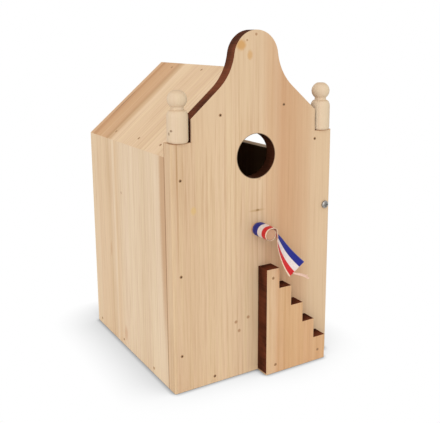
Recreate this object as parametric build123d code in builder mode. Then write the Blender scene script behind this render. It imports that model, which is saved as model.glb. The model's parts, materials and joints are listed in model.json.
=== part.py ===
"""Wooden birdhouse shaped like a narrow house with a bell gable.

Millimetres, +Z up. X runs to the right along the front, Y runs back through the house.
The origin is the middle of the ground that the four walls stand on.
"""

import os
from math import acos, asin, atan2, cos, degrees, radians, sin, sqrt
from build123d import *

# Overall sizes
house_width = 138.0
house_depth = 152.0
eave_height = 172.0
roof_rise = 58.0

# Board thicknesses
front_thickness = 10.0
back_thickness = 6.0
wall_thickness = 9.0
floor_thickness = 9.0
roof_thickness = 9.0
stair_thickness = 11.5
eased_edge = 0.8

# Bell gable of the front board, measured up from the ridge and from the eaves
gable_rise = 26.8
crown_radius = 18.5
neck_radius = 38.0
neck_lift = 7.5
shoulder_rise = 25.8

# Entrance hole
entrance_radius = 16.3
entrance_height = 167.7

# Perch and the ribbon tied on it
perch_radius = 4.0
perch_reach = 19.3
perch_height = 113.5
glue_gap = 0.05
ribbon_width = 16.0
ribbon_thickness = 0.35
ribbon_turns = 2
ribbon_slack = 0.3
turn_shift = 2.0
tail_length = 34.0
tail_fall = 52.0
tail_root_width = 3.0
tail_thickness = 1.2

# Stair board on the front
stair_left = 2.4
stair_going = 11.2
stair_rise = 16.0
stair_first_rise = 19.8
stair_steps = 5

# Turned finials in the notches
finial_height = 35.4
finial_body_radius = 7.3
finial_body_height = 22.4
finial_shoulder = 4.8
finial_neck_radius = 4.3
finial_head_radius = 6.7
finial_crown_flat = 2.5
finial_foot_edge = 0.8
finial_overhang = 1.3
finial_side_gap = 0.45
finial_roof_gap = 0.15

# Swinging side door and its two pivot screws
vent_gap = 14.2
door_foot_gap = 2.0
door_side_gap = 1.0
door_stop_gap = 0.5
pivot_height = 123.0
screw_radius = 1.5
screw_bite = 16.0
screw_head_radius = 3.0
screw_head_height = 1.8
screw_head_bevel = 0.9
screw_head_gap = 0.3
screw_running_gap = 0.08
screw_slot_width = 0.8
screw_slot_length = 3.6
screw_slot_depth = 0.9

# Places that follow from the sizes above
half_width = house_width / 2
inner_half_width = half_width - wall_thickness
inside_depth = house_depth - front_thickness - back_thickness
ridge_height = eave_height + roof_rise
gable_height = ridge_height + gable_rise
door_top = eave_height - vent_gap
roof_slope = roof_rise / half_width
roof_drop = roof_thickness / cos(atan2(roof_rise, half_width))
pivot_x = half_width - wall_thickness / 2

# Upright planes that face forwards: the house's front, the room behind it, the back board
front_y = -house_depth / 2
back_y = house_depth / 2
front_plane = Plane.XZ.offset(-front_y)
inside_plane = front_plane.offset(-front_thickness)
back_plane = inside_plane.offset(-inside_depth)

pieces = []


def keep(builder, label):
    """Name a finished piece and put it on the list that is written out."""
    builder.part.label = label
    pieces.append(builder.part)


def roof_outside(x):
    """Height of the roof's outer surface at a distance x from the ridge."""
    return ridge_height - roof_slope * abs(x)


# The notches take the finials. A finial hangs over the back of the front board a little,
# so the notch floor is high enough for that part of it to clear the roof.
notch_width = 2 * (finial_body_radius + finial_side_gap)
finial_x = half_width - notch_width / 2
finial_y = front_y + front_thickness + finial_overhang - finial_body_radius
half_chord = sqrt(finial_body_radius**2 - (finial_body_radius - finial_overhang) ** 2)
notch_floor = roof_outside(finial_x - half_chord) + finial_roof_gap

# Front board: the bell gable is a crown arc, a hollow neck arc and a straight slope.
# The crown's centre, the point where the two arcs meet and the neck's centre are in line.
# The slope leaves the neck arc as its tangent and ends at the shoulder beside the notch.
crown_centre = gable_height - crown_radius
crown_end = degrees(asin(neck_lift / (crown_radius + neck_radius)))
neck_centre = Vector(
    (crown_radius + neck_radius) * cos(radians(crown_end)),
    crown_centre + neck_lift,
)
shoulder = Vector(half_width - notch_width, eave_height + shoulder_rise)
to_shoulder = shoulder - neck_centre
neck_end = degrees(atan2(to_shoulder.Y, to_shoulder.X) - acos(neck_radius / to_shoulder.length))
neck_start = 180 + crown_end

with BuildPart() as front_board:
    with BuildSketch(front_plane):
        with BuildLine():
            CenterArc((0, crown_centre), crown_radius, crown_end, 90 - crown_end)
            neck = CenterArc(neck_centre, neck_radius, neck_start, neck_end % 360 - neck_start)
            Polyline(
                neck @ 1,
                shoulder,
                (shoulder.X, notch_floor),
                (half_width, notch_floor),
                (half_width, 0),
                (0, 0),
            )
            mirror(about=Plane.YZ)
        make_face()
        with Locations((0, entrance_height)):
            Circle(entrance_radius, mode=Mode.SUBTRACT)
        with Locations((0, perch_height)):
            Circle(perch_radius + glue_gap, mode=Mode.SUBTRACT)
        with Locations((pivot_x, pivot_height)):
            Circle(screw_radius + screw_running_gap, mode=Mode.SUBTRACT)
    extrude(amount=-front_thickness)
    outer_sides = front_board.faces().sort_by(Axis.Y)[0].edges().filter_by(Axis.Z).group_by(Axis.X)
    fillet(outer_sides[0] + outer_sides[-1], radius=eased_edge)
keep(front_board, "front_board")

# Back board: a plain pentagon whose top edges lie flush with the roof
with BuildPart() as back_board:
    with BuildSketch(back_plane):
        with BuildLine():
            Polyline(
                (-half_width, 0),
                (half_width, 0),
                (half_width, eave_height),
                (0, ridge_height),
                (-half_width, eave_height),
                close=True,
            )
        make_face()
        with Locations((pivot_x, pivot_height)):
            Circle(screw_radius + screw_running_gap, mode=Mode.SUBTRACT)
    extrude(amount=-back_thickness)
keep(back_board, "back_board")

# Fixed left wall and floor, both between the front and back boards
with BuildPart() as left_wall:
    with BuildSketch(inside_plane):
        with Locations((-half_width, 0)):
            Rectangle(wall_thickness, eave_height, align=(Align.MIN, Align.MIN))
    extrude(amount=-inside_depth)
keep(left_wall, "left_wall")

floor_width = 2 * inner_half_width - door_stop_gap
with BuildPart() as floor_board:
    with BuildSketch(inside_plane):
        with Locations((-inner_half_width, 0)):
            Rectangle(floor_width, floor_thickness, align=(Align.MIN, Align.MIN))
    extrude(amount=-inside_depth)
keep(floor_board, "floor_board")

# Roof boards: the lower ends are cut level to sit on a wall top, and the left board
# laps over the end of the right one at the ridge.
lap_x = roof_drop / (2 * roof_slope)
lap_point = (lap_x, roof_outside(lap_x))
under_ridge = (0, ridge_height - roof_drop)
level_cut_x = half_width - roof_drop / roof_slope

with BuildPart() as left_roof_board:
    with BuildSketch(inside_plane):
        with BuildLine():
            Polyline(
                (0, ridge_height),
                (-half_width, eave_height),
                (-level_cut_x, eave_height),
                lap_point,
                close=True,
            )
        make_face()
    extrude(amount=-inside_depth)
keep(left_roof_board, "left_roof_board")

with BuildPart() as right_roof_board:
    with BuildSketch(inside_plane):
        with BuildLine():
            Polyline(
                lap_point,
                (half_width, eave_height),
                (level_cut_x, eave_height),
                under_ridge,
                close=True,
            )
        make_face()
    extrude(amount=-inside_depth)
keep(right_roof_board, "right_roof_board")

# Side door: a board that turns on two screws and leaves a vent gap under the roof
door_length = inside_depth - 2 * door_side_gap
with BuildPart() as side_door:
    with BuildSketch(inside_plane.offset(-door_side_gap)):
        with Locations((half_width, door_foot_gap)):
            Rectangle(
                wall_thickness,
                door_top - door_foot_gap,
                align=(Align.MAX, Align.MIN),
            )
    extrude(amount=-door_length)
    door_ends = side_door.faces().sort_by(Axis.Y)
    for end_face in (door_ends[0], door_ends[-1]):
        end_plane = Plane(
            origin=(pivot_x, end_face.center().Y, pivot_height),
            x_dir=(1, 0, 0),
            z_dir=end_face.normal_at(),
        )
        with Locations(end_plane):
            Hole(screw_radius, depth=screw_bite)
keep(side_door, "side_door")

# Pivot screws: a bevelled pan head with a cross slot, and a plain shank
front_seat = Plane(origin=(pivot_x, front_y, pivot_height), x_dir=(0, 1, 0), z_dir=(1, 0, 0))
back_seat = Plane(origin=(pivot_x, back_y, pivot_height), x_dir=(0, -1, 0), z_dir=(-1, 0, 0))
screws = {
    "front_pivot_screw": (front_seat, front_thickness),
    "back_pivot_screw": (back_seat, back_thickness),
}
for screw_name, (seat, board) in screws.items():
    head_top = -screw_head_gap - screw_head_height
    slot_plane = Plane(
        origin=seat.from_local_coords((head_top, 0, 0)),
        x_dir=seat.z_dir,
        z_dir=-seat.x_dir,
    )
    with BuildPart() as pivot_screw:
        with BuildSketch(seat):
            with BuildLine():
                Polyline(
                    (head_top, 0),
                    (head_top, screw_head_radius - screw_head_bevel),
                    (head_top + screw_head_bevel, screw_head_radius),
                    (-screw_head_gap, screw_head_radius),
                    (-screw_head_gap, screw_radius),
                    (board + door_side_gap + screw_bite, screw_radius),
                    (board + door_side_gap + screw_bite, 0),
                    close=True,
                )
            make_face()
        revolve(axis=Axis(seat.origin, seat.x_dir))
        with BuildSketch(slot_plane):
            Rectangle(screw_slot_length, screw_slot_width)
            Rectangle(screw_slot_width, screw_slot_length)
        extrude(amount=-screw_slot_depth, mode=Mode.SUBTRACT)
    keep(pivot_screw, screw_name)

# Stair board: a flight of steps sawn along its right-hand edge
stair_top = stair_first_rise + (stair_steps - 1) * stair_rise
stair_points = [(stair_left, 0), (stair_left, stair_top)]
for step in range(stair_steps):
    riser_x = stair_left + (step + 1) * stair_going
    tread_z = stair_top - step * stair_rise
    next_z = tread_z - stair_rise if step < stair_steps - 1 else 0
    stair_points += [(riser_x, tread_z), (riser_x, next_z)]

with BuildPart() as stair_board:
    with BuildSketch(front_plane):
        with BuildLine():
            Polyline(*stair_points, close=True)
        make_face()
    extrude(amount=stair_thickness)
keep(stair_board, "stair_board")

# Perch: a dowel glued through the front board
with BuildPart() as perch_dowel:
    with BuildSketch(front_plane.offset(perch_reach)):
        with Locations((0, perch_height)):
            Circle(perch_radius)
    extrude(amount=-(perch_reach + front_thickness))
    chamfer(perch_dowel.faces().sort_by(Axis.Y)[0].edges(), length=eased_edge / 2)
keep(perch_dowel, "perch_dowel")

# Ribbon: two turns round the perch, the outer one further forward, and a free tail that
# falls to the right
wrap_inner = perch_radius + ribbon_slack
wrap_outer = wrap_inner + ribbon_turns * ribbon_thickness
wrap_width = ribbon_width + (ribbon_turns - 1) * turn_shift
wrap_front = (perch_reach + wrap_width) / 2
with BuildPart() as ribbon_wrap:
    with BuildSketch(front_plane.offset(wrap_front)):
        with Locations((0, perch_height)):
            Circle(wrap_outer)
            Circle(wrap_inner, mode=Mode.SUBTRACT)
    extrude(amount=-wrap_width)
keep(ribbon_wrap, "ribbon_wrap")

tail_start = wrap_outer + ribbon_slack
tail_plane = Plane(
    origin=(0, front_y - wrap_front + tail_thickness, perch_height),
    x_dir=(cos(radians(tail_fall)), 0, -sin(radians(tail_fall))),
    z_dir=(0, -1, 0),
)
with BuildPart() as ribbon_tail:
    with BuildSketch(tail_plane):
        with BuildLine():
            Polyline(
                (tail_start, tail_root_width / 2),
                (tail_start + tail_length, ribbon_width / 2),
                (tail_start + tail_length, -ribbon_width / 2),
                (tail_start, -tail_root_width / 2),
                close=True,
            )
        make_face()
    extrude(amount=tail_thickness)
keep(ribbon_tail, "ribbon_tail")

# Finials: turned pins with a ball head, one on the floor of each notch. The ball is
# parted off at a small flat, and the long shoulder is turned in two tapers, steep and then
# flatter towards the neck.
head_centre = finial_height - sqrt(finial_head_radius**2 - finial_crown_flat**2)
neck_angle = degrees(acos(finial_neck_radius / finial_head_radius))
crown_angle = degrees(acos(finial_crown_flat / finial_head_radius))
shoulder_foot = finial_body_height - finial_shoulder
taper_radius = finial_neck_radius + (finial_body_radius - finial_neck_radius) / sqrt(2)
taper_height = shoulder_foot + finial_shoulder / sqrt(2)
for finial_name, side in (("left_finial", -1), ("right_finial", 1)):
    finial_plane = Plane(
        origin=(side * finial_x, finial_y, notch_floor),
        x_dir=(1, 0, 0),
        z_dir=(0, -1, 0),
    )
    with BuildPart() as finial:
        with BuildSketch(finial_plane):
            with BuildLine():
                head = CenterArc(
                    (0, head_centre),
                    finial_head_radius,
                    -neck_angle,
                    neck_angle + crown_angle,
                )
                Polyline(
                    head @ 0,
                    (finial_neck_radius, finial_body_height),
                    (taper_radius, taper_height),
                    (finial_body_radius, shoulder_foot),
                    (finial_body_radius, finial_foot_edge),
                    (finial_body_radius - finial_foot_edge, 0),
                    (0, 0),
                    (0, finial_height),
                    head @ 1,
                )
            make_face()
        revolve(axis=Axis(finial_plane.origin, (0, 0, 1)))
    keep(finial, finial_name)

os.makedirs("parts", exist_ok=True)
for piece in pieces:
    export_step(piece, f"parts/{piece.label}.step")
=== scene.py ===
"""A wooden birdhouse with a bell gable: its finishes, nails, turned pins and ribbon."""

import json
import math

import bmesh
import bpy
from mathutils import Matrix, Vector


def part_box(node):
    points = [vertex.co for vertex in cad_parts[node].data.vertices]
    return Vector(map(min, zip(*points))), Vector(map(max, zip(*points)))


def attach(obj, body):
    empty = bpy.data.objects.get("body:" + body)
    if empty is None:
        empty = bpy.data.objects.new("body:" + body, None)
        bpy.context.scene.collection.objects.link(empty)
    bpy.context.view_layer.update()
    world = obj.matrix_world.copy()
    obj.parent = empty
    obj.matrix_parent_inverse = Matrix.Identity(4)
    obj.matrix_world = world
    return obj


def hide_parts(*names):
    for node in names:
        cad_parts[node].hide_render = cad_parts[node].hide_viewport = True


MM = 0.001

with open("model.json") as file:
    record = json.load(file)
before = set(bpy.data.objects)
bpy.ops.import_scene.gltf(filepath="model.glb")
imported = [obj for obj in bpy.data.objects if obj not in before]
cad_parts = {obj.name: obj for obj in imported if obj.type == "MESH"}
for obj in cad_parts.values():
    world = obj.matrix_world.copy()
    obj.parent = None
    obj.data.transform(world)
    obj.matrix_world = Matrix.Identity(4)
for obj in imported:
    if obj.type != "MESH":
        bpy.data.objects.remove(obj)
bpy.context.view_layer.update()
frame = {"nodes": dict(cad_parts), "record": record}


def corners(node):
    """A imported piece's lowest and highest corners, in millimetres."""
    return [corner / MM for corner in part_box(node)]


# Places on the boards, in millimetres
FRONT_FACE = corners("front_board")[0].y
JOINT_FACE = corners("left_wall")[0].y
STAIR_FACE = corners("stair_board")[0].y
BACK_JOINT = corners("left_roof_board")[1].y
BACK_FACE = corners("back_board")[1].y
SIDE_FACE = corners("front_board")[1].x
EAVE, RIDGE = (corner.z for corner in corners("left_roof_board"))
ROOF_ANGLE = math.atan2(RIDGE - EAVE, SIDE_FACE)
NOTCH_FLOOR = corners("left_finial")[0].z
NOTCH_WIDTH = 15.5
NOTCH_SIDE = SIDE_FACE - NOTCH_WIDTH
PERCH_HEIGHT = sum(corner.z for corner in corners("perch_dowel")) / 2
HOLE = next(mount for mount in frame["record"]["mounts"] if mount["name"] == "entrance_hole")
HOLE_HEIGHT = HOLE["pos_m"][2] / MM
HOLE_RADIUS = HOLE["dims"]["r_mm"]

# Turned pins, in millimetres, with the steps round them and the strength of their tool rings
PIN_FOOT_ROUND = 1.3
PIN_FOOT_RISE = 2.08
PIN_NECK = 4.3
PIN_NECK_HEIGHT = 22.4
PIN_SHOULDER = 4.8
PIN_HEAD = 6.8
PIN_HEAD_RISE = 6.5
PIN_CROWN_FLAT = 2.5
PIN_STEPS = 64
PIN_RING_SPACING = 1.6
PIN_TOOL_MARKS = 0.8

# Ribbon, in millimetres and degrees: the wrap starts at its inner turn, and grows and
# shifts forward as it turns. Its wall side is a little looser and higher than its free edge.
# Its mesh has so many cells across and along, and the selvedge widens by a share where it bends.
RIBBON_WIDTH = 16
RIBBON_THICK = 0.2
WRAP_START = 65
WRAP_TURN = 695
WRAP_RADIUS = 4.15
WRAP_GROWTH = 0.42
WRAP_FLARE = 0.25
FLARE_GROWTH = 0.3
WRAP_LIFT = 0.35
WRAP_EDGE = -93.5
WRAP_SHIFT = -2.5
WRAP_MEAN = WRAP_RADIUS + (WRAP_GROWTH + WRAP_FLARE + FLARE_GROWTH / 2) / 2
WRAP_LENGTH = math.radians(WRAP_TURN) * WRAP_MEAN
TAIL_LENGTH = 45.5
RIBBON_ACROSS = 24
RIBBON_ALONG = 260
WARP_PITCH = 0.32
WEFT_PITCH = 0.4
BEND_PLACE = WRAP_LENGTH + 7
BEND_SELVEDGE = 0.18

# The pulled threads at the ribbon's cut end, in millimetres and radians
FRAY_THREADS = 18
THREAD_RADIUS = 0.18
THREAD_TURN = 2.4
THREAD_SHORTER = 0.12
FRAY_SPREAD = 0.6
FRAY_OPENING = 0.15
FRAY_TWIST = 1.3

# Nails: the radius in millimetres that the outline's radii are shares of, the share past which
# the wood is bruised, and the steps round a nail
NAIL_RADIUS = 0.76
NAIL_HEAD = 0.8
NAIL_STEPS = 14

# Softwood, in millimetres: where the heart of the tree lies beside and behind the board, how
# far its rings lie apart and stray, and how deep the grain stands
HEART_ASIDE = 300
HEART_BEHIND = 240
RING_SPACING = 2.8
RING_DRIFT = 11
RING_RIPPLE = 2.4
GRAIN_RELIEF = 0.06

# Uneven growth: it shifts the rings by up to so many spacings, and changes every three or so
RING_UNEVEN = 3.2
UNEVEN_SCALE = (0.31, 1, 1)

# How much each part of the grain adds to its tone, and how far a seed moves the patterns
STREAK_TONE = 0.5
FIBRE_TONE = 0.8
BLOTCH_TONE = 0.25
SEED_SHIFT = (0.37, 0.11, 0.53)

# Noise across and along the grain, in cycles to the metre
DRIFT_SCALE = (16, 16, 2.4)
RIPPLE_SCALE = (90, 90, 10)
BREAK_SCALE = (300, 300, 14)
FIBRE_SCALE = (820, 820, 26)
STREAK_SCALE = (640, 640, 13)
TONE_SCALE = (34, 34, 1.1)
BLOTCH_SCALE = (60, 60, 13)
HUE_SCALE = (260, 260, 6)
BAND_SCALE = (160, 160, 2.5)


# Colours and shader nodes


def shade(red, green, blue):
    """A colour as seen, 0 to 255 a channel, in the linear values that a shader takes."""

    def linear(channel):
        part = channel / 255
        return part / 12.92 if part <= 0.04045 else ((part + 0.055) / 1.055) ** 2.4

    return (linear(red), linear(green), linear(blue), 1)


def add(tree, kind, inputs=None, **settings):
    """A shader node with its settings, each input joined to a socket or given a value."""
    node = tree.nodes.new("ShaderNode" + kind)
    for name, value in settings.items():
        setattr(node, name, value)
    for key, value in (inputs or {}).items():
        if isinstance(value, bpy.types.NodeSocket):
            tree.links.new(value, node.inputs[key])
        else:
            node.inputs[key].default_value = value
    return node


def calc(tree, operation, *values):
    """The result of a Math node."""
    return add(tree, "Math", dict(enumerate(values)), operation=operation).outputs[0]


def mix(tree, factor, first, second, kind="MIX"):
    """Two colours blended."""
    node = add(tree, "Mix", {0: factor, 6: first, 7: second}, data_type="RGBA", blend_type=kind)
    return node.outputs[2]


def fade(tree, value, start, end, low=0.0, high=1.0):
    """A smooth step from low to high as the value goes from start to end."""
    limits = {"Value": value, "From Min": start, "From Max": end, "To Min": low, "To Max": high}
    return add(tree, "MapRange", limits, interpolation_type="SMOOTHSTEP").outputs["Result"]


def fade_mm(tree, value, start, end, low=0.0, high=1.0):
    """A smooth step between two places given in millimetres."""
    return fade(tree, value, start * MM, end * MM, low, high)


def ramp(tree, value, kind, stops):
    """The colour at a value from 0 to 1, by stops of (position, colour) in rising order."""
    node = add(tree, "ValToRGB", {"Fac": value})
    node.color_ramp.interpolation = kind
    elements = node.color_ramp.elements
    while len(elements) < len(stops):
        elements.new(0.5)
    for element, (position, colour) in zip(elements, stops):
        element.position = position
        element.color = colour
    return node.outputs["Color"]


def stretch(tree, vector, scale):
    """The vector with each axis multiplied, which draws a pattern out along the small ones."""
    inputs = {0: vector, 1: scale}
    return add(tree, "VectorMath", inputs, operation="MULTIPLY").outputs["Vector"]


def noise(tree, vector, scale, detail=2.0, roughness=0.5):
    """Noise from 0 to 1 with its own scale on each axis, in cycles to the metre."""
    inputs = {"Vector": stretch(tree, vector, scale), "Scale": 1.0, "Detail": detail}
    inputs["Roughness"] = roughness
    return add(tree, "TexNoise", inputs).outputs["Fac"]


def parts_of(tree, vector):
    """The X, Y and Z sockets of a vector."""
    return add(tree, "SeparateXYZ", {"Vector": vector}).outputs


def object_place(tree):
    """The place on the object, in metres."""
    return add(tree, "TexCoord").outputs["Object"]


def new_group(name, inputs, outputs):
    """An empty node group, with the sockets that its nodes read and fill."""
    group = bpy.data.node_groups.new(name, "ShaderNodeTree")
    for side, sockets in (("INPUT", inputs), ("OUTPUT", outputs)):
        for label, kind in sockets.items():
            group.interface.new_socket(name=label, in_out=side, socket_type="NodeSocket" + kind)
    entry = group.nodes.new("NodeGroupInput").outputs
    leave = group.nodes.new("NodeGroupOutput").inputs
    return group, entry, leave


def new_material(name):
    """A material with its Principled shader, and the tree that it is in."""
    material = bpy.data.materials.new(name)
    material.use_nodes = True
    tree = material.node_tree
    return material, tree, tree.nodes["Principled BSDF"]


# Shared patterns


def make_grain_group():
    """Softwood along Z: late-wood lines of uneven strength, fibres, and broad bands of tone."""
    inputs = {"Vector": "Vector", "Seed": "Float", "Pale": "Color", "Warm": "Color"}
    inputs |= {"Spacing": "Float", "Lines": "Float", "Bands": "Float"}
    outputs = {"Color": "Color", "Height": "Float"}
    group, entry, leave = new_group("softwood grain", inputs, outputs)
    seed = add(group, "CombineXYZ", {axis: entry["Seed"] for axis in "XYZ"})
    shift = stretch(group, seed.outputs[0], SEED_SHIFT)
    moved = add(group, "VectorMath", {0: entry["Vector"], 1: shift}, operation="ADD")
    place = moved.outputs["Vector"]

    # Growth rings: the distance from the heart of the tree, in ring spacings
    on_board = parts_of(group, entry["Vector"])
    aside = calc(group, "ADD", on_board["X"], HEART_ASIDE * MM)
    behind = calc(group, "SUBTRACT", on_board["Y"], HEART_BEHIND * MM)
    squares = calc(group, "MULTIPLY_ADD", aside, aside, calc(group, "MULTIPLY", behind, behind))
    drift = calc(group, "SUBTRACT", noise(group, place, DRIFT_SCALE, 1.0), 0.5)
    ripple = calc(group, "SUBTRACT", noise(group, place, RIPPLE_SCALE, 1.0), 0.5)
    far = calc(group, "MULTIPLY_ADD", ripple, RING_RIPPLE * MM, calc(group, "SQRT", squares))
    far = calc(group, "MULTIPLY_ADD", drift, RING_DRIFT * MM, far)
    rings = calc(group, "DIVIDE", far, entry["Spacing"])
    number_place = add(group, "CombineXYZ", {"X": rings, "Y": entry["Seed"]}).outputs[0]
    uneven = noise(group, number_place, UNEVEN_SCALE, 1.0)
    rings = calc(group, "MULTIPLY_ADD", uneven, RING_UNEVEN, rings)

    # Each ring darkens slowly and ends sharply, more or less strongly, and breaks up along it
    growth = calc(group, "FRACT", rings)
    slow_rise = calc(group, "POWER", growth, 5.0)
    late = calc(group, "MULTIPLY", slow_rise, fade(group, growth, 1.0, 0.95))
    number = calc(group, "FLOOR", rings)
    strength = add(group, "TexWhiteNoise", {"W": number}, noise_dimensions="1D").outputs["Value"]
    late = calc(group, "MULTIPLY", late, calc(group, "MULTIPLY_ADD", strength, 0.9, 0.1))
    broken = fade(group, noise(group, place, BREAK_SCALE), 0.36, 0.58, 0.25, 1.0)
    late = calc(group, "MULTIPLY", late, broken)

    # The tone from pale to warm: broad bands, rings, streaks, fibres and blotches
    fibre = calc(group, "SUBTRACT", noise(group, place, FIBRE_SCALE, 4.0, 0.7), 0.5)
    streaks = fade(group, noise(group, place, STREAK_SCALE), 0.53, 0.72)
    blotch = calc(group, "SUBTRACT", noise(group, place, BLOTCH_SCALE), 0.5)
    broad = fade(group, noise(group, place, TONE_SCALE), 0.34, 0.72)
    tone = calc(group, "MULTIPLY", broad, entry["Bands"])
    tone = calc(group, "MULTIPLY_ADD", late, entry["Lines"], tone)
    streak_tone = calc(group, "MULTIPLY", entry["Lines"], STREAK_TONE)
    tone = calc(group, "MULTIPLY_ADD", streaks, streak_tone, tone)
    tone = calc(group, "MULTIPLY_ADD", fibre, FIBRE_TONE, tone)
    tone = calc(group, "MULTIPLY_ADD", blotch, BLOTCH_TONE, tone)
    colour = mix(group, calc(group, "MAXIMUM", tone, 0.0), entry["Pale"], entry["Warm"])
    hue = fade(group, noise(group, place, HUE_SCALE), 0.35, 0.65)
    tint = mix(group, hue, shade(255, 253, 253), shade(255, 255, 251))
    group.links.new(mix(group, 1.0, colour, tint, "MULTIPLY"), leave["Color"])
    group.links.new(calc(group, "MULTIPLY_ADD", late, 0.6, fibre), leave["Height"])
    return group


def make_spot_group():
    """A soft oval with a ragged edge, for a knot, a stain or the dirt in a seam."""
    inputs = {"Vector": "Vector", "Centre": "Vector", "Reach": "Vector", "Ragged": "Float"}
    group, entry, leave = new_group("oval spot", inputs, {"Mask": "Float"})
    away = add(group, "VectorMath", {0: entry["Vector"], 1: entry["Centre"]}, operation="SUBTRACT")
    shares = add(group, "VectorMath", {0: away.outputs[0], 1: entry["Reach"]}, operation="DIVIDE")
    far = add(group, "VectorMath", {0: shares.outputs[0]}, operation="LENGTH").outputs["Value"]
    rough = calc(group, "SUBTRACT", noise(group, entry["Vector"], (700, 700, 700)), 0.5)
    edge = calc(group, "MULTIPLY_ADD", rough, entry["Ragged"], far)
    group.links.new(fade(group, edge, 1.0, 0.35), leave["Mask"])
    return group


def make_scorch_group():
    """The browned cut that a laser leaves, with fine lines through the board's thickness."""
    inputs = {"Vector": "Vector", "Dark": "Color", "Red": "Color"}
    outputs = {"Color": "Color", "Height": "Float"}
    group, entry, leave = new_group("scorched cut", inputs, outputs)
    lines = noise(group, entry["Vector"], (850, 30, 850))
    cloud = fade(group, noise(group, entry["Vector"], (38, 60, 38)), 0.36, 0.66, 0.2, 0.8)
    tone = calc(group, "MULTIPLY_ADD", calc(group, "SUBTRACT", lines, 0.5), 0.8, cloud)
    tone = calc(group, "MAXIMUM", calc(group, "MINIMUM", tone, 1.0), 0.0)
    group.links.new(mix(group, tone, entry["Dark"], entry["Red"]), leave["Color"])
    group.links.new(lines, leave["Height"])
    return group


GRAIN = make_grain_group()
SPOT = make_spot_group()
SCORCH = make_scorch_group()


# Finishes


class Board:
    """A pine finish while it is being built: its tree, and the sockets that later layers read."""

    def __init__(self, name, turn, seed, pale, warm, lines, bands=0.35, spacing=RING_SPACING):
        self.material, self.tree, self.surface = new_material(name)
        tree = self.tree
        coordinates = add(tree, "TexCoord").outputs
        self.place = coordinates["Object"]
        self.normal = parts_of(tree, coordinates["Normal"])
        self.along = add(tree, "Mapping", {"Vector": self.place, "Rotation": turn}).outputs["Vector"]
        inputs = {"Vector": coordinates["Normal"], "Rotation": turn}
        facing = add(tree, "Mapping", inputs, vector_type="VECTOR").outputs["Vector"]
        inputs = {"Vector": self.along, "Seed": seed, "Pale": pale, "Warm": warm}
        inputs |= {"Spacing": spacing * MM, "Lines": lines, "Bands": bands}
        grain = add(tree, "Group", inputs, node_tree=GRAIN).outputs
        end = fade(tree, calc(tree, "ABSOLUTE", parts_of(tree, facing)["Z"]), 0.55, 0.9)
        self.colour = mix(tree, calc(tree, "MULTIPLY", end, END_GRAIN_TONE), grain["Color"], warm)
        self.height = grain["Height"]
        self.rough = calc(tree, "MULTIPLY_ADD", end, END_GRAIN_ROUGHER, WOOD_ROUGHNESS)
        self.shine = WOOD_SHINE

    def spot(self, centre, reach, colour, strength, ragged=0.3):
        """A knot or stain, its place and reach in millimetres."""
        inputs = {"Vector": self.place, "Ragged": ragged}
        inputs["Centre"] = [value * MM for value in centre]
        inputs["Reach"] = [value * MM for value in reach]
        mask = add(self.tree, "Group", inputs, node_tree=SPOT).outputs["Mask"]
        mask = calc(self.tree, "MULTIPLY", mask, strength)
        self.colour = mix(self.tree, mask, self.colour, colour)

    def bands(self, axis, stops, colour):
        """Broad bands of another tone across the board, by stops of (millimetres, amount)."""
        tree = self.tree
        start, end = stops[0][0], stops[-1][0]
        inputs = {"Value": parts_of(tree, self.place)[axis]}
        inputs |= {"From Min": start * MM, "From Max": end * MM}
        share = add(tree, "MapRange", inputs).outputs["Result"]
        shares = [((where - start) / (end - start), (part, part, part, 1)) for where, part in stops]
        streaks = fade(tree, noise(tree, self.along, BAND_SCALE), 0.2, 0.6, 0.6, 1.0)
        amount = calc(tree, "MULTIPLY", ramp(tree, share, "EASE", shares), streaks)
        self.colour = mix(tree, amount, self.colour, colour, "MULTIPLY")

    def paint_inside_shade(self, direction):
        """Painted shade: darkens the face that looks into the house, as if little light reached it.
        """
        tree = self.tree
        facing = add(tree, "CombineXYZ", {axis: self.normal[axis] for axis in "XYZ"}).outputs[0]
        toward = add(tree, "VectorMath", {0: facing, 1: direction}, operation="DOT_PRODUCT")
        mask = fade(tree, toward.outputs["Value"], 0.5, 0.7)
        self.colour = mix(tree, mask, self.colour, INSIDE_SHADE, "MULTIPLY")

    def scorch(self, zone, dark, red):
        """Burnt cuts on the faces that run through the board's thickness, inside the zone."""
        tree = self.tree
        side = fade(tree, calc(tree, "ABSOLUTE", self.normal["Y"]), 0.8, 0.45)
        mask = calc(tree, "MULTIPLY", side, zone)
        inputs = {"Vector": self.place, "Dark": dark, "Red": red}
        burnt = add(tree, "Group", inputs, node_tree=SCORCH).outputs
        self.colour = mix(tree, mask, self.colour, burnt["Color"])
        raised = calc(tree, "SUBTRACT", burnt["Height"], self.height)
        self.height = calc(tree, "MULTIPLY_ADD", mask, raised, self.height)
        self.rough = calc(tree, "MULTIPLY_ADD", mask, BURNT_ROUGHER, self.rough)
        self.shine = BURNT_SHINE

    def done(self):
        """Joins the layers to the shader."""
        tree = self.tree
        inputs = {"Strength": 0.6, "Distance": GRAIN_RELIEF * MM, "Height": self.height}
        bump = add(tree, "Bump", inputs)
        tree.links.new(self.colour, self.surface.inputs["Base Color"])
        tree.links.new(self.rough, self.surface.inputs["Roughness"])
        tree.links.new(bump.outputs["Normal"], self.surface.inputs["Normal"])
        self.surface.inputs["Specular IOR Level"].default_value = self.shine
        return self.material


# How the grain, which runs along Z, is turned to a board's length
UPRIGHT = (0, 0, 0)
SIDEWAYS = (0, 0, math.pi / 2)
LEVEL = (math.pi / 2, 0, 0)
UP_LEFT_ROOF = (0, ROOF_ANGLE - math.pi / 2, math.pi / 2)
UP_RIGHT_ROOF = (0, math.pi / 2 - ROOF_ANGLE, math.pi / 2)

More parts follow.
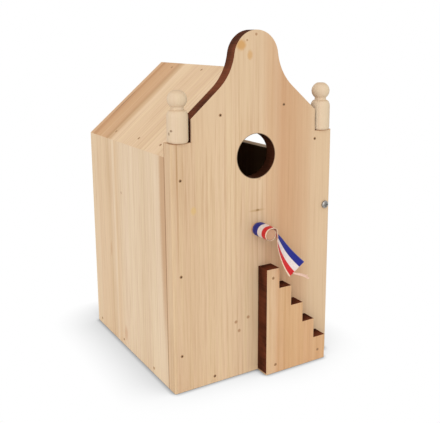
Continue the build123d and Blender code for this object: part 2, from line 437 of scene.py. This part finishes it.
# The colours of bare pine and of what marks it
PALE = shade(229, 203, 168)
WARM = shade(200, 158, 115)
SAWN = shade(206, 162, 120)
KNOT = shade(112, 76, 46)
FADED_KNOT = shade(168, 122, 84)
SPLIT = shade(190, 152, 100)
DARK_SPLIT = shade(140, 104, 62)
RESIN = shade(208, 154, 84)
PALE_RESIN = shade(222, 186, 118)
STREAK = shade(176, 138, 92)
DARK_STREAK = shade(96, 62, 38)
SEAM = shade(142, 98, 64)
SEAM_HALO = shade(210, 170, 136)
# Painted shade for the faces that look into the house
INSIDE_SHADE = shade(150, 128, 108)
SINGED_AND_SHADED = shade(150, 88, 46)
SOOT = shade(34, 14, 6)

# Gloss and roughness of bare wood, and what end grain and burning change
WOOD_SHINE = 0.35
BURNT_SHINE = 0.08
WOOD_ROUGHNESS = 0.62
END_GRAIN_ROUGHER = 0.2
END_GRAIN_TONE = 0.45
BURNT_ROUGHER = 0.12

# Marks on the front's face, in millimetres: x, z, reach in x, reach in z, colour, strength
FRONT_MARKS = [
    (-13, 246.5, 5.5, 5, RESIN, 0.75),
    (-5.6, 239.5, 3, 4.5, RESIN, 0.55),
    (-52, 134, 3, 4, PALE_RESIN, 0.6),
    (-8, 249.7, 1.1, 1.1, FADED_KNOT, 0.75),
    (-0.4, 253.7, 1.4, 1.4, FADED_KNOT, 0.75),
    (-17.4, 43.7, 1.8, 1.8, FADED_KNOT, 0.75),
    (-6.6, 45.1, 1.8, 1.8, FADED_KNOT, 0.75),
    (-14.6, 36.1, 1.8, 1.8, FADED_KNOT, 0.75),
    (1, 127.1, 9, 1.3, SPLIT, 0.5),
    (1.6, 127.3, 2, 1.1, DARK_SPLIT, 0.7),
    (3, 150.8, 1.6, 1.8, FADED_KNOT, 0.35),
    (-64.4, 168, 0.7, 26, STREAK, 0.55),
]

# Marks on the left wall's face: y, z, reach in y, reach in z, colour, strength
WALL_MARKS = [
    (12.4, 131.4, 1.5, 1.6, FADED_KNOT, 0.6),
    (38, 78, 2.2, 9, shade(196, 148, 110), 0.45),
    (12, 12, 4, 9, shade(206, 158, 118), 0.5),
]

# How far a mark reaches into the board, in millimetres
MARK_DEPTH = 4


def front_finish():
    """The gable front: a warmer stave on the right, pin knots, resin stains and burnt cuts."""
    pale, warm = shade(228, 200, 165), shade(182, 138, 98)
    board = Board("pine_front", UPRIGHT, 1.7, pale, warm, lines=0.5, bands=0.25)
    tree = board.tree
    place = parts_of(tree, board.place)
    aside, height = place["X"], place["Z"]

    # The grain is calmer on the right and up in the gable
    right = fade_mm(tree, aside, 0, 22, 0.0, 0.55)
    gable = fade_mm(tree, height, 180, 205, 0.0, 0.4)
    calm = calc(tree, "MAXIMUM", right, gable)
    board.colour = mix(tree, calm, board.colour, shade(222, 193, 158))
    stops = [(-SIDE_FACE, 0), (2, 0), (14, 0.5), (24, 0.75), (34, 0.65), (46, 0.4), (52, 0.1)]
    board.bands("X", stops + [(SIDE_FACE, 0)], shade(236, 209, 191))
    for x, z, wide, tall, colour, strength in FRONT_MARKS:
        board.spot((x, FRONT_FACE, z), (wide, MARK_DEPTH, tall), colour, strength)

    # The seam with the left wall, on the front board's side
    board.spot((-SIDE_FACE, JOINT_FACE, 120), (MARK_DEPTH, 3.0, 260), SEAM_HALO, 0.4)
    board.spot((-SIDE_FACE, JOINT_FACE, 90), (MARK_DEPTH, 0.7, 300), SEAM, 0.8)

    # Burnt: the gable's edge above the notch floors, and the entrance hole
    above = fade_mm(tree, height, NOTCH_FLOOR - 1.2, NOTCH_FLOOR - 0.2)
    inward = fade_mm(tree, calc(tree, "ABSOLUTE", aside), NOTCH_SIDE + 3, NOTCH_SIDE + 1)
    from_hole = calc(tree, "SUBTRACT", height, HOLE_HEIGHT * MM)
    across = calc(tree, "MULTIPLY", from_hole, from_hole)
    radius = calc(tree, "SQRT", calc(tree, "MULTIPLY_ADD", aside, aside, across))
    bore = fade_mm(tree, radius, HOLE_RADIUS + 3, HOLE_RADIUS + 2)
    cuts = calc(tree, "MAXIMUM", calc(tree, "MULTIPLY", above, inward), bore)
    board.scorch(cuts, shade(58, 28, 14), shade(124, 66, 40))
    rim = fade_mm(tree, radius, HOLE_RADIUS + 0.6, HOLE_RADIUS + 0.2, 0.0, 0.65)
    board.colour = mix(tree, rim, board.colour, SOOT)
    for side in (-1, 1):
        notch_middle = side * (SIDE_FACE - NOTCH_WIDTH / 2)
        # A singed line along each notch floor's front edge, which is also painted shade under the
        # pin's overhanging foot
        board.spot((notch_middle, FRONT_FACE, NOTCH_FLOOR), (10, 8, 1.0), SINGED_AND_SHADED, 0.9, ragged=0.1)
        foot_of_side = (side * NOTCH_SIDE, FRONT_FACE + 5, NOTCH_FLOOR + 10)
        board.spot(foot_of_side, (1.0, 12, 15), SOOT, 0.55)
    return board.done()


def stair_finish():
    """The flight of steps: orange pine with a paler left edge, burnt all round but under its foot."""
    pale, warm = shade(224, 190, 154), shade(190, 146, 102)
    board = Board("pine_stair", UPRIGHT, 6.1, pale, warm, lines=0.4, bands=0.12)
    board.bands("X", [(3, 0), (9, 0), (14, 0.7), (60, 0.8)], shade(244, 228, 208))
    height = parts_of(board.tree, board.place)["Z"]
    zone = fade_mm(board.tree, height, 0.4, 1.4)
    board.scorch(zone, shade(60, 26, 12), shade(118, 60, 36))
    # Painted shade: the burnt sides darken toward the front board, in the corner where they meet it
    board.bands("Y", [(STAIR_FACE, 0), (FRONT_FACE, 1)], shade(176, 170, 162))
    return board.done()


def wall_finish(name, seed):
    """A side wall: paler, with soft bands toward the back."""
    pale, warm = shade(235, 212, 182), shade(200, 164, 124)
    board = Board(name, SIDEWAYS, seed, pale, warm, lines=0.6)
    stops = [(FRONT_FACE, 0), (10, 0), (24, 0.5), (27, 0.05), (33, 0.4), (60, 0.4)]
    board.bands("Y", stops + [(BACK_FACE, 0.1)], shade(232, 210, 174))
    return board


def left_wall_finish():
    """The left wall, browner next to the front, with a knot and two stains."""
    board = wall_finish("pine_left_wall", 3.3)
    beside_seam = (-SIDE_FACE, JOINT_FACE + 2, 150)
    board.spot(beside_seam, (MARK_DEPTH, 9, 150), shade(198, 156, 116), 0.85, ragged=0.15)
    board.spot((-SIDE_FACE, JOINT_FACE, 90), (MARK_DEPTH, 0.7, 300), SEAM, 0.8)
    for y, z, wide, tall, colour, strength in WALL_MARKS:
        board.spot((-SIDE_FACE, y, z), (MARK_DEPTH, wide, tall), colour, strength)
    board.paint_inside_shade((1, 0, 0))
    return board.done()


def door_finish():
    """The door, a side wall without marks."""
    board = wall_finish("pine_door", 5.2)
    board.paint_inside_shade((-1, 0, 0))
    return board.done()


def roof_finish(name, turn, seed, streaked=False):
    """A roof board, its grain up the slope, with a band toward the back, grey and then brown."""
    board = Board(name, turn, seed, shade(233, 204, 168), shade(194, 150, 106), lines=0.5)
    brown = [(FRONT_FACE, 0), (27, 0), (34, 0.5), (42, 0.75), (58, 0.8), (66, 1), (BACK_FACE, 1)]
    board.bands("Y", brown, shade(219, 188, 156))
    grey = [(FRONT_FACE, 0), (28, 0), (34, 0.9), (38, 1), (43, 0), (BACK_FACE, 0)]
    board.bands("Y", grey, shade(226, 216, 200))
    if streaked:
        board.spot((-40, BACK_JOINT, 197), (24, 1.6, 21), DARK_STREAK, 0.8)
    board.paint_inside_shade((0, 0, -1))
    return board.done()


def back_finish():
    """The back board, its sawn upper edges as brown as the roof next to them."""
    board = Board("pine_back", UPRIGHT, 4.4, PALE, WARM, lines=0.5)
    slope = fade(board.tree, board.normal["Z"], 0.3, 0.6, 0.0, 0.8)
    board.colour = mix(board.tree, slope, board.colour, SAWN)
    board.paint_inside_shade((0, -1, 0))
    return board.done()


def floor_finish():
    """The floor board, its grain from front to back."""
    return Board("pine_floor", LEVEL, 7.1, PALE, WARM, lines=0.5).done()


def perch_finish():
    """The dowel, a pinker wood than the boards."""
    pale, warm = shade(214, 172, 140), shade(180, 128, 98)
    return Board("pine_perch", LEVEL, 3.9, pale, warm, lines=0.4).done()


def turned_finish():
    """Pale close-grained wood off the lathe, with tool rings and two dark marks on the left pin."""
    pale, warm = shade(224, 201, 171), shade(203, 171, 136)
    grain = {"lines": 0.3, "bands": 0.3, "spacing": PIN_RING_SPACING}
    board = Board("turned_wood", UPRIGHT, 9.2, pale, warm, **grain)
    tree = board.tree
    level = add(tree, "CombineXYZ", {"Z": parts_of(tree, board.place)["Z"]}).outputs[0]
    rings = noise(tree, level, (1, 1, 2400), 1.0)
    board.height = calc(tree, "MULTIPLY_ADD", rings, PIN_TOOL_MARKS, board.height)
    board.spot((-67.8, -75.2, 190.9), (1.5, 1.5, 1.1), KNOT, 0.75)
    board.spot((-68.5, -73.4, 188.8), (0.8, 1.0, 1.7), KNOT, 0.7)
    return board.done()


def cloudy_finish(name, scale, dark, light, roughness):
    """A plain material between two colours and two roughnesses, and its shader."""
    material, tree, surface = new_material(name)
    cloud = noise(tree, object_place(tree), scale)
    tree.links.new(mix(tree, cloud, dark, light), surface.inputs["Base Color"])
    tree.links.new(fade(tree, cloud, 0.3, 0.7, *roughness), surface.inputs["Roughness"])
    return material, surface


def steel_finish():
    """Zinc-plated steel: faint scratches and a cloudy shine."""
    material, tree, surface = new_material("screw_steel")
    place = object_place(tree)
    cloud = noise(tree, place, (900, 900, 900), 3.0)
    scratches = noise(tree, place, (400, 400, 6000))
    tint = mix(tree, cloud, shade(126, 124, 120), shade(178, 176, 172))
    tree.links.new(tint, surface.inputs["Base Color"])
    tree.links.new(fade(tree, scratches, 0.3, 0.7, 0.28, 0.48), surface.inputs["Roughness"])
    bump = add(tree, "Bump", {"Strength": 0.4, "Distance": 0.02 * MM, "Height": scratches})
    tree.links.new(bump.outputs["Normal"], surface.inputs["Normal"])
    surface.inputs["Metallic"].default_value = 1.0
    return material


def nail_finish(name, dark, light, metal):
    """Dull, cloudy nail heads, dark where they lie flush and browner where they are sunk."""
    material, surface = cloudy_finish(name, (1500, 1500, 1500), dark, light, (0.35, 0.6))
    surface.inputs["Metallic"].default_value = metal
    surface.inputs["Specular IOR Level"].default_value = 0.2
    return material


def crushed_wood_finish():
    """Brown bruised fibres round a nail."""
    dark, light = shade(136, 98, 64), shade(198, 158, 114)
    return cloudy_finish("crushed_wood", (1800, 1800, 400), dark, light, (0.6, 0.8))[0]


def thread_finish():
    """Loose pinkish-white threads."""
    dark, light = shade(232, 188, 164), shade(248, 218, 200)
    return cloudy_finish("ribbon_threads", (1200, 1200, 1200), dark, light, (0.6, 0.8))[0]


CREAM = shade(250, 222, 194)
RED = shade(215, 32, 36)
WHITE = shade(238, 223, 218)
BLUE = shade(24, 32, 134)
RIBBON_BANDS = [
    (0.0, CREAM),
    (0.056, CREAM),
    (0.07, RED),
    (0.335, RED),
    (0.352, WHITE),
    (0.655, WHITE),
    (0.672, BLUE),
    (0.972, BLUE),
    (0.988, shade(110, 114, 176)),
]


def ribbon_finish():
    """Woven ribbon: red, white and blue bands, cream selvedges, and a fine plain weave."""
    material, tree, surface = new_material("ribbon_cloth")
    where = add(tree, "UVMap", uv_map="Weave").outputs["UV"]
    place = parts_of(tree, where)
    across, along = place["X"], place["Y"]
    share = calc(tree, "DIVIDE", across, RIBBON_WIDTH * MM)
    wobble = calc(tree, "SUBTRACT", noise(tree, where, (900, 2600, 1), 1.0), 0.5)
    share = calc(tree, "MULTIPLY_ADD", wobble, 0.012, share)

    # The selvedge shows wider where the ribbon bends off the perch
    bend = calc(tree, "ABSOLUTE", calc(tree, "SUBTRACT", along, BEND_PLACE * MM))
    share = calc(tree, "SUBTRACT", share, fade_mm(tree, bend, 5, 2.5, 0.0, BEND_SELVEDGE))
    dyed = ramp(tree, share, "LINEAR", RIBBON_BANDS)

    # The weave, a random wear, and a tone a little darker on the turns round the perch
    warp = calc(tree, "SINE", calc(tree, "MULTIPLY", across, math.tau / (WARP_PITCH * MM)))
    weft = calc(tree, "SINE", calc(tree, "MULTIPLY", along, math.tau / (WEFT_PITCH * MM)))
    weave = calc(tree, "MULTIPLY", warp, weft)
    turns = fade_mm(tree, along, WRAP_LENGTH - 4, WRAP_LENGTH + 4, 0.9, 1.0)
    worn = fade(tree, noise(tree, where, (500, 500, 1)), 0.3, 0.7, 0.9, 1.02)
    tone = calc(tree, "MULTIPLY_ADD", weave, 0.05, calc(tree, "MULTIPLY", worn, turns))
    tone = add(tree, "CombineColor", {channel: tone for channel in range(3)}).outputs[0]
    tree.links.new(mix(tree, 1.0, dyed, tone, "MULTIPLY"), surface.inputs["Base Color"])
    tree.links.new(fade(tree, weave, -1.0, 1.0, 0.62, 0.5), surface.inputs["Roughness"])
    bump = add(tree, "Bump", {"Strength": 0.5, "Distance": 0.05 * MM, "Height": weave})
    tree.links.new(bump.outputs["Normal"], surface.inputs["Normal"])
    surface.inputs["Sheen Weight"].default_value = 0.05
    surface.inputs["Specular IOR Level"].default_value = 0.3
    return material


# Modelled pieces


def to_object(name, mesh_builder, *materials):
    """A linked object from a finished bmesh."""
    mesh = bpy.data.meshes.new(name)
    mesh_builder.to_mesh(mesh)
    mesh_builder.free()
    for material in materials:
        mesh.materials.append(material)
    piece = bpy.data.objects.new(name, mesh)
    bpy.context.scene.collection.objects.link(piece)
    return piece


def finish_piece(piece):
    """Fixes a piece to the body that stands still."""
    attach(piece, "house")


def turn_profile(mesh_builder, outline, steps):
    """Spins an outline of (radius, height) points about Z and closes its poles."""
    points = [mesh_builder.verts.new((radius, 0, height)) for radius, height in outline]
    edges = [mesh_builder.edges.new(pair) for pair in zip(points, points[1:])]
    bmesh.ops.spin(
        mesh_builder,
        geom=points + edges,
        axis=(0, 0, 1),
        cent=(0, 0, 0),
        angle=math.tau,
        steps=steps,
        use_merge=True,
    )
    bmesh.ops.remove_doubles(mesh_builder, verts=mesh_builder.verts, dist=1e-7)
    bmesh.ops.recalc_face_normals(mesh_builder, faces=mesh_builder.faces)


def arc(centre, reach, start, end, steps):
    """Points on an oval arc, from one angle to the other in degrees."""
    points = []
    for step in range(steps + 1):
        angle = math.radians(start + (end - start) * step / steps)
        aside, up = reach[0] * math.cos(angle), reach[1] * math.sin(angle)
        points.append((centre[0] + aside, centre[1] + up))
    return points


def pin_outline(height, body):
    """A pin's outline from foot to crown: straight body, shoulder, neck and flattened ball."""
    foot_centre = (body - PIN_FOOT_ROUND, PIN_FOOT_RISE)
    foot = arc(foot_centre, (PIN_FOOT_ROUND, PIN_FOOT_RISE), -90, 0, 6)
    straight = [(body, share * height) for share in (0.2, 0.3, 0.4)]
    shoulder_centre = (PIN_NECK, PIN_NECK_HEIGHT - PIN_SHOULDER)
    shoulder = arc(shoulder_centre, (body - PIN_NECK, PIN_SHOULDER), 0, 90, 8)
    neck_turn = math.degrees(math.acos(PIN_NECK / PIN_HEAD))
    crown_turn = math.degrees(math.acos(PIN_CROWN_FLAT / PIN_HEAD))
    head_centre = (0, height - PIN_HEAD_RISE * math.sin(math.radians(crown_turn)))
    head = arc(head_centre, (PIN_HEAD, PIN_HEAD_RISE), -neck_turn, crown_turn, 18)
    outline = [(0, 0)] + foot + straight + shoulder + head + [(0, height)]
    return [(radius * MM, level * MM) for radius, level in outline]


def make_pins(material):
    """The two turned pins, rounder than their stand-ins."""
    for name in ("left_finial", "right_finial"):
        low, high = corners(name)
        middle = (low + high) / 2
        builder = bmesh.new()
        turn_profile(builder, pin_outline(high.z - low.z, (high.x - low.x) / 2), PIN_STEPS)
        place = Vector((middle.x, middle.y, low.z))
        bmesh.ops.translate(builder, verts=builder.verts, vec=place * MM)
        pin = to_object("turned_" + name, builder, material)
        for face in pin.data.polygons:
            face.use_smooth = True
        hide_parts(name)
        finish_piece(pin)


NAIL_OUTLINE = [
    (0, 0.03),
    (0.72, 0.03),
    (0.82, 0.14),
    (1.05, 0.17),
    (1.35, 0.08),
    (1.6, 0.0),
    (1.6, -0.2),
]

# Nail places: x and z on the upright faces, or y along a wall's foot and a roof board
FRONT_NAILS = [
    (-62, 156.5),
    (-62.6, 87.9),
    (-63, 28.1),
    (-36, 5.1),
    (-30, 199.1),
    (24, 203.5),
    (53.4, 175.9),
]
STAIR_NAILS = [(8.0, 76.7), (10.8, 6.6), (51.7, 8.4)]
BACK_NAILS = [(-62.3, 156), (-62.3, 92), (-62.3, 30), (-34, 4.8), (28, 4.8), (-30, 196), (26, 199)]
WALL_NAILS = [67, 17.3, -40.5]
WALL_NAIL_HEIGHT = 4.6
EAVE_NAILS = [33.7, -10.9, -47.9]
EAVE_NAILS_OUT = 62.5
RIDGE_NAILS = [47.2, -4.6]
RIDGE_NAILS_OUT = 4.2


def on_roof(side, across, y):
    """A place on a roof board's upper face, so many millimetres across from the ridge."""
    return (side * across, y, RIDGE - across * math.tan(ROOF_ANGLE))


def nail_places():
    """Every nail as (place, outward direction), by the board that it is driven into."""
    places = {
        "front_nails": [((x, FRONT_FACE, z), (0, -1, 0)) for x, z in FRONT_NAILS],
        "stair_nails": [((x, STAIR_FACE, z), (0, -1, 0)) for x, z in STAIR_NAILS],
        "left_wall_nails": [((-SIDE_FACE, y, WALL_NAIL_HEIGHT), (-1, 0, 0)) for y in WALL_NAILS],
        "back_nails": [((x, BACK_FACE, z), (0, 1, 0)) for x, z in BACK_NAILS],
    }
    for name, side in (("left", -1), ("right", 1)):
        out = (side * math.sin(ROOF_ANGLE), 0, math.cos(ROOF_ANGLE))
        rows = [(EAVE_NAILS_OUT, y) for y in EAVE_NAILS]
        rows += [(RIDGE_NAILS_OUT, y) for y in RIDGE_NAILS]
        places[name + "_roof_nails"] = [(on_roof(side, across, y), out) for across, y in rows]
    return places


def make_nails(heads, sunk_heads, bruise):
    """A piece for each board's nails: every head, and the bruised wood raised round it."""
    outline = [(radius * NAIL_RADIUS * MM, height * MM) for radius, height in NAIL_OUTLINE]
    for name, nails in nail_places().items():
        head = heads if name == "front_nails" else sunk_heads
        builder = bmesh.new()
        for place, out in nails:
            single = bmesh.new()
            turn_profile(single, outline, NAIL_STEPS)
            middle = Vector(place) * MM
            turn = Vector((0, 0, 1)).rotation_difference(Vector(out)).to_matrix().to_4x4()
            matrix = Matrix.Translation(middle) @ turn
            bmesh.ops.transform(single, matrix=matrix, verts=single.verts)
            for face in single.faces:
                reach = (face.calc_center_median() - middle).length
                face.material_index = int(reach > NAIL_HEAD * NAIL_RADIUS * MM)
            part = bpy.data.meshes.new("nail")
            single.to_mesh(part)
            single.free()
            builder.from_mesh(part)
            bpy.data.meshes.remove(part)
        finish_piece(to_object(name, builder, head, bruise))


# The ribbon's tail in millimetres, from the top of the perch over a slack loop to the cut
# end: its red edge, the line that bows its middle, and its blue edge, at evenly spaced stations
TAIL_RED = [
    (0, -96, 118.07),
    (4.8, -96, 116.9),
    (5.6, -96, 111.5),
    (5.4, -95.8, 105.9),
    (6.6, -95.6, 100.3),
    (8.4, -95.5, 94.8),
    (10.5, -95.6, 89.4),
    (13.1, -95.8, 84.0),
    (16.3, -96, 78.9),
]
TAIL_MIDDLE = [
    (0, -88, 118.5),
    (5.2, -87.5, 117.3),
    (9.1, -86.8, 112.8),
    (10.9, -87.6, 107.6),
    (12.2, -88.6, 102.0),
    (13.8, -90.3, 96.9),
    (16.2, -92.3, 92.0),
    (19.4, -94.2, 87.6),
    (23.1, -96, 83.5),
]
TAIL_BLUE = [
    (0, -80, 118.97),
    (5.4, -80, 117.3),
    (10.2, -80.6, 113.9),
    (14.0, -82.4, 109.8),
    (17.5, -84.8, 105.2),
    (20.4, -87.2, 100.5),
    (23.4, -89.9, 96.1),
    (26.5, -93.0, 92.0),
    (29.9, -96, 88.0),
]


def wrap_point(across, turned):
    """A place on the turns round the perch, from shares across the ribbon and round the turns."""
    angle = math.radians(WRAP_START - WRAP_TURN * turned)
    radius = WRAP_RADIUS + WRAP_GROWTH * turned + (WRAP_FLARE + FLARE_GROWTH * turned) * across
    y = WRAP_EDGE + WRAP_SHIFT * turned + RIBBON_WIDTH * across
    height = PERCH_HEIGHT + WRAP_LIFT * across
    return Vector((radius * math.cos(angle), y, height + radius * math.sin(angle)))


def through(before_first, points, share):
    """A smooth curve through evenly spaced points, which comes in from one before the first."""
    last = len(points) - 1
    step = min(int(share * last), last - 1)
    part = share * last - step
    before = Vector(points[step - 1]) if step else before_first
    here, there = Vector(points[step]), Vector(points[step + 1])
    after = Vector(points[min(last, step + 2)])
    leave = (there - before) / 2
    arrive = (after - here) / 2
    square, cube = part * part, part**3
    return (
        (2 * cube - 3 * square + 1) * here
        + (cube - 2 * square + part) * leave
        + (3 * square - 2 * cube) * there
        + (cube - square) * arrive
    )


def tail_point(across, share):
    """A place on the tail, bowed between its two edges."""
    step_back = 1 - TAIL_LENGTH / (len(TAIL_RED) - 1) / WRAP_LENGTH
    red, middle, blue = (
        through(wrap_point(part, step_back), edge, share)
        for part, edge in ((0, TAIL_RED), (0.5, TAIL_MIDDLE), (1, TAIL_BLUE))
    )
    return (1 - across) ** 2 * red + 2 * across * (1 - across) * middle + across**2 * blue


def make_ribbon(cloth, threads):
    """The ribbon as one sheet, from its inner turn to the cut end, with its pulled threads."""
    length = WRAP_LENGTH + TAIL_LENGTH
    builder = bmesh.new()
    bmesh.ops.create_grid(builder, x_segments=RIBBON_ACROSS, y_segments=RIBBON_ALONG, size=0.5)
    weave = builder.loops.layers.uv.new("Weave")
    for face in builder.faces:
        for loop in face.loops:
            across, along = loop.vert.co.x + 0.5, loop.vert.co.y + 0.5
            loop[weave].uv = (across * RIBBON_WIDTH * MM, along * length * MM)
    for vert in builder.verts:
        across, along = vert.co.x + 0.5, (vert.co.y + 0.5) * length
        if along < WRAP_LENGTH:
            vert.co = wrap_point(across, along / WRAP_LENGTH) * MM
        else:
            vert.co = tail_point(across, (along - WRAP_LENGTH) / TAIL_LENGTH) * MM
    for face in builder.faces:
        face.smooth = True
    ribbon = to_object("ribbon", builder, cloth)
    thick = ribbon.modifiers.new("cloth", "SOLIDIFY")
    thick.thickness = RIBBON_THICK * MM
    thick.offset = 0
    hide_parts("ribbon_wrap", "ribbon_tail")
    finish_piece(ribbon)
    fray = make_fray(threads)


FRAY_ROUTE = [
    (19.4, -96, 81.3),
    (22.8, -95.9, 79.9),
    (26.6, -95.7, 78.6),
    (30.6, -95.6, 76.9),
    (34.8, -95.4, 75.1),
]


def make_fray(threads):
    """A pulled bundle of threads at the cut end, opening a little and cut unevenly."""
    curve = bpy.data.curves.new("ribbon_fray", "CURVE")
    curve.dimensions = "3D"
    curve.bevel_depth = THREAD_RADIUS * MM
    curve.bevel_resolution = 1
    last = len(FRAY_ROUTE) - 1
    for number in range(FRAY_THREADS):
        spline = curve.splines.new("NURBS")
        spline.points.add(last)
        turn = number * THREAD_TURN
        for step, (point, (x, y, z)) in enumerate(zip(spline.points, FRAY_ROUTE)):
            spread = FRAY_SPREAD + FRAY_OPENING * step
            shorter = number * THREAD_SHORTER if step == last else 0
            place = (
                x - shorter,
                y + spread * math.cos(turn + step),
                z + spread * math.sin(turn + FRAY_TWIST * step),
            )
            point.co = (*(value * MM for value in place), 1)
        spline.order_u = 3
        spline.use_endpoint_u = True
    helper = bpy.data.objects.new("ribbon_fray_line", curve)
    bpy.context.scene.collection.objects.link(helper)
    bpy.context.view_layer.update()
    evaluated = helper.evaluated_get(bpy.context.evaluated_depsgraph_get())
    mesh = bpy.data.meshes.new_from_object(evaluated)
    bpy.data.objects.remove(helper)
    mesh.materials.clear()
    mesh.materials.append(threads)
    fray = bpy.data.objects.new("ribbon_fray", mesh)
    bpy.context.scene.collection.objects.link(fray)
    finish_piece(fray)
    return fray


# Camera, light and floor

# The photograph's camera, in millimetres and radians
CAMERA_PLACE = (-262.74, -464.03, 252.71)
CAMERA_TURN = 0.5393
CAMERA_TILT = 0.2037
CAMERA_ROLL = 0.0062
SENSOR_WIDTH = 36
LENS = 53.97
SHIFT = -0.0898
NEAREST_SEEN = 10


def make_camera():
    """The camera at the photograph's viewing angle."""
    data = bpy.data.cameras.new("camera")
    data.sensor_width = SENSOR_WIDTH
    data.lens = LENS
    data.shift_y = SHIFT
    data.clip_start = NEAREST_SEEN * MM
    forward = Vector(
        (
            math.sin(CAMERA_TURN) * math.cos(CAMERA_TILT),
            math.cos(CAMERA_TURN) * math.cos(CAMERA_TILT),
            -math.sin(CAMERA_TILT),
        )
    )
    level = Vector((math.cos(CAMERA_TURN), -math.sin(CAMERA_TURN), 0))
    down = forward.cross(level)
    right = math.cos(CAMERA_ROLL) * level + math.sin(CAMERA_ROLL) * down
    up = math.sin(CAMERA_ROLL) * level - math.cos(CAMERA_ROLL) * down
    camera = bpy.data.objects.new("camera", data)
    camera.matrix_world = Matrix.Translation(Vector(CAMERA_PLACE) * MM) @ Matrix(
        (right, up, -forward)
    ).transposed().to_4x4()
    bpy.context.scene.collection.objects.link(camera)
    bpy.context.scene.camera = camera


PURE_WHITE = (1, 1, 1, 1)

# Light: strengths, the key lamp's direction, and the angle in degrees that softens it
SKY = 0.78
KEY = 1.02
KEY_DIRECTION = (0.58, 0.72, -0.38)
KEY_SPREAD = 50

# The floor, in millimetres, and the shadow painted on it that the camera sees
FLOOR_REACH = 4000
FLOOR_DROP = 0.2
FLOOR_TONE = 0.86
SHADOW_REACH = 42
SHADOW_LEAN = (0, -0.6, 0.8)
SHADOW_DEPTH = 0.65
CONTACT_REACH = 4


def seen_directly(tree):
    """1 for rays from the camera, or from a shiny or clear surface."""
    path = add(tree, "LightPath").outputs
    seen = calc(tree, "MAXIMUM", path["Is Camera Ray"], path["Is Glossy Ray"])
    return calc(tree, "MAXIMUM", seen, path["Is Transmission Ray"])


def make_light():
    """An even white sky and a soft key lamp from the left front."""
    world = bpy.data.worlds.new("white room")
    world.use_nodes = True
    bpy.context.scene.world = world
    tree = world.node_tree
    tree.nodes.clear()
    light = add(tree, "Background", {"Color": PURE_WHITE, "Strength": SKY}).outputs[0]
    white = add(tree, "Background", {"Color": PURE_WHITE, "Strength": 1.0}).outputs[0]
    both = add(tree, "MixShader", {0: seen_directly(tree), 1: light, 2: white}).outputs[0]
    tree.links.new(both, add(tree, "OutputWorld").inputs["Surface"])
    key = bpy.data.lights.new("key", "SUN")
    key.energy = KEY
    key.angle = math.radians(KEY_SPREAD)
    lamp = bpy.data.objects.new("key", key)
    lamp.rotation_mode = "QUATERNION"
    lamp.rotation_quaternion = Vector(KEY_DIRECTION).to_track_quat("-Z", "Y")
    bpy.context.scene.collection.objects.link(lamp)


def make_floor():
    """A white floor with the object's soft, neutral shadow painted on it from ambient occlusion."""
    builder = bmesh.new()
    bmesh.ops.create_grid(builder, x_segments=1, y_segments=1, size=FLOOR_REACH * MM)
    bmesh.ops.translate(builder, verts=builder.verts, vec=(0, 0, -FLOOR_DROP * MM))
    material, tree, surface = new_material("floor")
    tree.nodes.remove(surface)
    tone = (FLOOR_TONE, FLOOR_TONE, FLOOR_TONE, 1)
    paint = add(tree, "BsdfDiffuse", {"Color": tone}).outputs[0]
    # Painted shadow: the seen floor glows white, dimmed by ambient occlusion leaned toward the front
    # and by close contact
    lean = add(tree, "CombineXYZ", dict(zip("XYZ", SHADOW_LEAN))).outputs[0]
    inputs = {"Distance": SHADOW_REACH * MM, "Normal": lean}
    nearby = add(tree, "AmbientOcclusion", inputs, samples=32).outputs["AO"]
    inputs = {"Distance": CONTACT_REACH * MM}
    touching = add(tree, "AmbientOcclusion", inputs, samples=16).outputs["AO"]
    open_share = calc(tree, "MULTIPLY", calc(tree, "POWER", nearby, SHADOW_DEPTH), touching)
    white = add(tree, "Emission", {"Color": PURE_WHITE, "Strength": open_share}).outputs[0]
    both = add(tree, "MixShader", {0: seen_directly(tree), 1: paint, 2: white}).outputs[0]
    tree.links.new(both, tree.nodes["Material Output"].inputs["Surface"])
    to_object("floor", builder, material)


# Everything together

bpy.context.scene.view_settings.view_transform = "Standard"
make_camera()
make_light()
make_floor()

finishes = {
    "front_board": front_finish(),
    "back_board": back_finish(),
    "left_wall": left_wall_finish(),
    "side_door": door_finish(),
    "floor_board": floor_finish(),
    "left_roof_board": roof_finish("pine_roof_left", UP_LEFT_ROOF, 2.6, streaked=True),
    "right_roof_board": roof_finish("pine_roof_right", UP_RIGHT_ROOF, 8.3),
    "stair_board": stair_finish(),
    "perch_dowel": perch_finish(),
}
steel = steel_finish()
finishes |= {"front_pivot_screw": steel, "back_pivot_screw": steel}
for node_name, finish in finishes.items():
    mesh = frame["nodes"][node_name].data
    mesh.materials.clear()
    mesh.materials.append(finish)

make_pins(turned_finish())
heads = nail_finish("nail_heads", shade(40, 22, 12), shade(78, 52, 32), metal=0.1)
sunk_heads = nail_finish("sunk_nail_heads", shade(124, 88, 58), shade(176, 134, 94), metal=0.0)
make_nails(heads, sunk_heads, crushed_wood_finish())
make_ribbon(ribbon_finish(), thread_finish())
